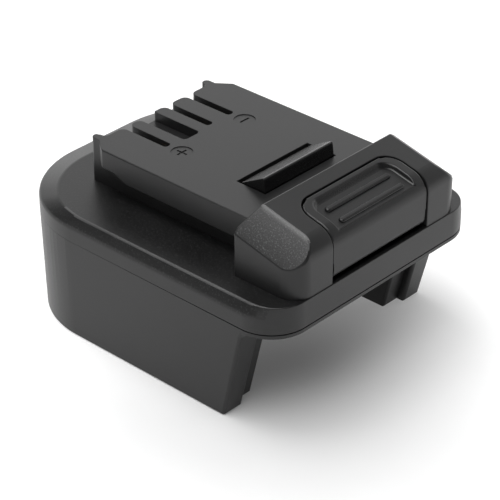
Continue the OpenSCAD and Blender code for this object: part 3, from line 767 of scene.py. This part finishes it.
def latch_face(p, n):
    """Which finish a face of the latch has: satin, the gloss of wedge and dish edges, or a painted highlight
    on the rim.
    """
    if p.x < LATCH_WAIST_X:
        return 1 if p.z > 48 else 0
    q = press_frame().inverted() @ p
    s = slope_frame().inverted() @ p
    if -DISH_SINK - 0.1 < s.z < -0.05 and abs(s.y) < 15.6 and n.z < 0.955 and n.y < 0.2 and s.x > 5:
        return 1
    corner = math.hypot(max(0.0, OPEN_R - q.x), max(0.0, abs(p.y) - OPEN_HW + OPEN_R))
    rim = abs(p.y) > 17.5 or corner > OPEN_R - 0.8
    # the button's rim takes the painted edge highlight
    return 2 if rim and p.z > BUTTON_LOW_Z and 0.75 < n.z < 0.955 else 0


latch = full_foot(steeper_dish(merged_copy("release_latch", [MIDDLE])))
latch = soften(latch, "release_latch_moulding", latch_width, 2.0, hollow_at=dish_hollow)
finish_piece(latch, LATCH, "latch_plastic", latch_satin, wedge_gloss, painted_edge_highlight, replaces=["release_latch"],
             pick=latch_face)


# Return springs

def return_spring(name, side):
    """A closed-ended coil of round wire, standing on its seat under the latch's arm."""
    bm = bmesh.new()
    start = Matrix.Translation((COIL_R, 0, WIRE_R)) @ Matrix.Rotation(math.pi / 2, 4, "X")
    ring = bmesh.ops.create_circle(bm, cap_ends=True, segments=10, radius=WIRE_R, matrix=start)
    last = ring["verts"] + list({e for v in ring["verts"] for e in v.link_edges}) \
        + list({f for v in ring["verts"] for f in v.link_faces})
    open_pitch = (SPRING_L - 2 * WIRE_R - 2 * END_PITCH) / OPEN_TURNS
    for turns, pitch in ((1, END_PITCH), (OPEN_TURNS, open_pitch), (1, END_PITCH)):
        made = bmesh.ops.spin(bm, geom=last, cent=(0, 0, 0), axis=(0, 0, 1), dvec=(0, 0, pitch / COIL_STEPS),
                              angle=math.tau * turns, steps=COIL_STEPS * turns)
        last = made["geom_last"]
    bmesh.ops.recalc_face_normals(bm, faces=bm.faces)
    seat = Vector((SEAT_X, side * SPRING_Y, SEAT_Z))
    bm.transform(Matrix.Translation(seat) @ Matrix.Rotation(PRESS_TILT, 4, "Y"))
    obj = as_object(bm, name + "_coil")
    finish_piece(obj, SHELL, "spring_steel", spring_steel, replaces=[name], sharp=60)
    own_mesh(obj)


return_spring("latch_spring_left", -1)
return_spring("latch_spring_right", 1)


# Screws

def screws(name, places, head_d, head_h, shank_d, length, up):
    """Pan-head tapping screws with a cross recess; up says which way the points go."""
    bm = bmesh.new()
    for place in places:
        one = bmesh.new()
        bmesh.ops.create_cone(one, cap_ends=True, segments=28, radius1=head_d / 2, radius2=head_d / 2,
                              depth=head_h, matrix=Matrix.Translation((0, 0, head_h / 2)))
        rim = [e for e in one.edges if all(v.co.z < 0.01 for v in e.verts)]
        bmesh.ops.bevel(one, geom=rim, offset=head_h * 0.45, offset_type="OFFSET", segments=5, profile=0.5,
                        affect="EDGES", material=-1)
        top = max(one.faces, key=lambda f: f.calc_center_median().z)
        bmesh.ops.inset_individual(one, faces=[top], thickness=(head_d - shank_d) / 2)
        made = bmesh.ops.extrude_discrete_faces(one, faces=[top])["faces"]
        bmesh.ops.translate(one, verts=made[0].verts[:], vec=(0, 0, length - head_h - shank_d * 0.6))
        tip = bmesh.ops.extrude_discrete_faces(one, faces=made)["faces"]
        bmesh.ops.translate(one, verts=tip[0].verts[:], vec=(0, 0, shank_d * 0.6))
        bmesh.ops.scale(one, verts=tip[0].verts[:], vec=(0.35, 0.35, 1), space=Matrix.Identity(4))
        head = as_object(one, name + "_one")
        for half_x, half_y in ((head_d * 0.27, head_d * 0.07), (head_d * 0.07, head_d * 0.27)):
            bar = block((-half_x, -half_y, -1), (half_x, half_y, head_h * 0.55))
            deep = [v for v in bar.verts if v.co.z > 0]
            bmesh.ops.scale(bar, verts=deep, vec=(0.7, 0.7, 1))
            combine(head, as_object(bar, "driver"), "DIFFERENCE")
        one = reopened(head)
        if not up:
            one.transform(Matrix.Rotation(math.pi, 4, "X"))
        one.transform(Matrix.Translation(place) @ Matrix.Rotation(place[0] * 7 + place[1], 4, "Z"))
        mesh = bpy.data.meshes.new(name)
        one.to_mesh(mesh)
        one.free()
        bm.from_mesh(mesh)
    finish_piece(as_object(bm, name + "_driven"), SHELL, "screw_steel", screw_zinc, replaces=[name], sharp=35)


screws("shell_screws",
       [(x, y, SHELL_SCREW_Z) for x in SHELL_SCREW_XS for y in (-SHELL_SCREW_Y, SHELL_SCREW_Y)],
       head_d=5.6, head_h=2.2, shank_d=2.9, length=14.05, up=True)
screws("board_screws", [(BOARD_SCREW_X, y, BOARD_SCREW_Z) for y in (-BOARD_SCREW_Y, BOARD_SCREW_Y)],
       head_d=4.4, head_h=1.5, shank_d=2.0, length=8.0, up=True)
screws("block_screws", [(BLOCK_SCREW_X, y, BLOCK_SCREW_Z) for y in (-BLOCK_SCREW_Y, BLOCK_SCREW_Y)],
       head_d=4.6, head_h=1.4, shank_d=2.2, length=8.4, up=False)


# Contacts, board and leads

def eased(node, slot, material, width, sharp=38):
    """A CAD node with the small broken edges of the real piece."""
    obj = soften(merged_copy(node), node + "_eased", lambda p, a, b: width, 1.0, segments=2)
    finish_piece(obj, SHELL, slot, material, replaces=[node], sharp=sharp)


eased("blade_block", "block_plastic", block_nylon, 0.3)
for name in ("battery_blade_positive", "battery_blade_signal", "battery_blade_negative"):
    eased(name, "blade_metal", blade_nickel, 0.12)
for name in ("tool_clip_positive", "tool_clip_signal", "tool_clip_negative"):
    eased(name, "clip_metal", clip_brass, 0.1)
eased("circuit_board", "board", laminate, 0.08)
eased("board_resistors", "chip", chip_black, 0.08)
for name, slot, material in (("positive_lead", "lead_red", lead_red),
                             ("signal_lead", "lead_yellow", lead_yellow),
                             ("negative_lead", "lead_black", lead_black)):
    eased(name, slot, material, 0.0, sharp=50)


# Studio

def floor():
    """A pale paper floor that gives off a little light of its own, with a painted shadow: that light fades
    out round a place under the button's end.
    """
    bm = bmesh.new()
    bmesh.ops.create_circle(bm, cap_ends=True, segments=96, radius=FLOOR_R)
    obj = as_object(bm, "floor")
    obj.data.transform(Matrix.Translation((0, 0, FLOOR_Z)))
    mat = bpy.data.materials.new("floor_paper")
    mat.use_nodes = True
    s = Shader(mat.node_tree)
    place = s.node("ShaderNodeTexCoord", out=3)
    tooth = s.noise(place, 60.0, 2.0)
    away = s.node("ShaderNodeVectorMath", {"operation": "DISTANCE"}, out=1, i0=place, i1=Vector(PAINTED_SHADOW_MID))
    # painted shadow: the floor's own light fades to almost nothing near the place under the button's end
    glow_with_painted_shadow = s.tint(s.ramp(away, 0.01, 0.085), grey(0.05), grey(0.38))
    bsdf = s.node("ShaderNodeBsdfPrincipled", Base_Color=s.tint(tooth, grey(0.70), grey(0.73)), Roughness=0.9,
                  Emission_Color=glow_with_painted_shadow, Emission_Strength=1.0)
    s.node("ShaderNodeOutputMaterial", Surface=bsdf)
    obj.data.materials.append(mat)


def studio_world():
    """Soft studio: a white sweep behind, a soft key high at the front, a small lamp above, a dark room."""
    world = bpy.data.worlds.new("studio")
    bpy.context.scene.world = world
    world.use_nodes = True
    s = Shader(world.node_tree)
    way = s.node("ShaderNodeTexCoord", out=0)

    def towards(direction):
        return s.node("ShaderNodeVectorMath", {"operation": "DOT_PRODUCT"}, out=1, i0=way,
                      i1=Vector(direction).normalized())

    height = s.node("ShaderNodeSeparateXYZ", out=2, Vector=way)
    sweep = s.ramp(towards(SWEEP_WAY), 0.1, 0.75) * s.ramp(height, 0.45, 0.85, 1.0, 0.3)
    front_key = s.ramp(towards(FRONT_KEY_WAY), 0.80, 0.98)
    top_lamp = s.ramp(towards(TOP_LAMP_WAY), 0.94, 0.985)
    key = front_key * FRONT_KEY_LIGHT + top_lamp * TOP_LAMP_LIGHT
    light = s.ramp(height, 0.2, 0.7, 0.19, 0.06) + sweep * SWEEP_LIGHT + key
    back = s.node("ShaderNodeBackground", Color=grey(1.0), Strength=light)
    s.node("ShaderNodeOutputWorld", Surface=back)


def photo_camera():
    """The camera solved from the photograph."""
    data = bpy.data.cameras.new("photo_camera")
    data.sensor_width = 36.0
    data.lens = 156.9
    data.shift_x = 0.0032
    data.shift_y = 0.0008
    data.clip_start = 0.01
    cam = bpy.data.objects.new("photo_camera", data)
    bpy.context.scene.collection.objects.link(cam)
    azimuth, elevation = math.radians(42.542), math.radians(31.646)
    back = Vector((math.sin(azimuth) * math.cos(elevation), -math.cos(azimuth) * math.cos(elevation),
                   math.sin(elevation)))
    cam.location = (0.33906, -0.36400, 0.32408)
    cam.rotation_mode = "QUATERNION"
    cam.rotation_quaternion = (-back).to_track_quat("-Z", "Y")
    bpy.context.scene.camera = cam


floor()
studio_world()
photo_camera()
bpy.context.scene.view_settings.view_transform = "Standard"
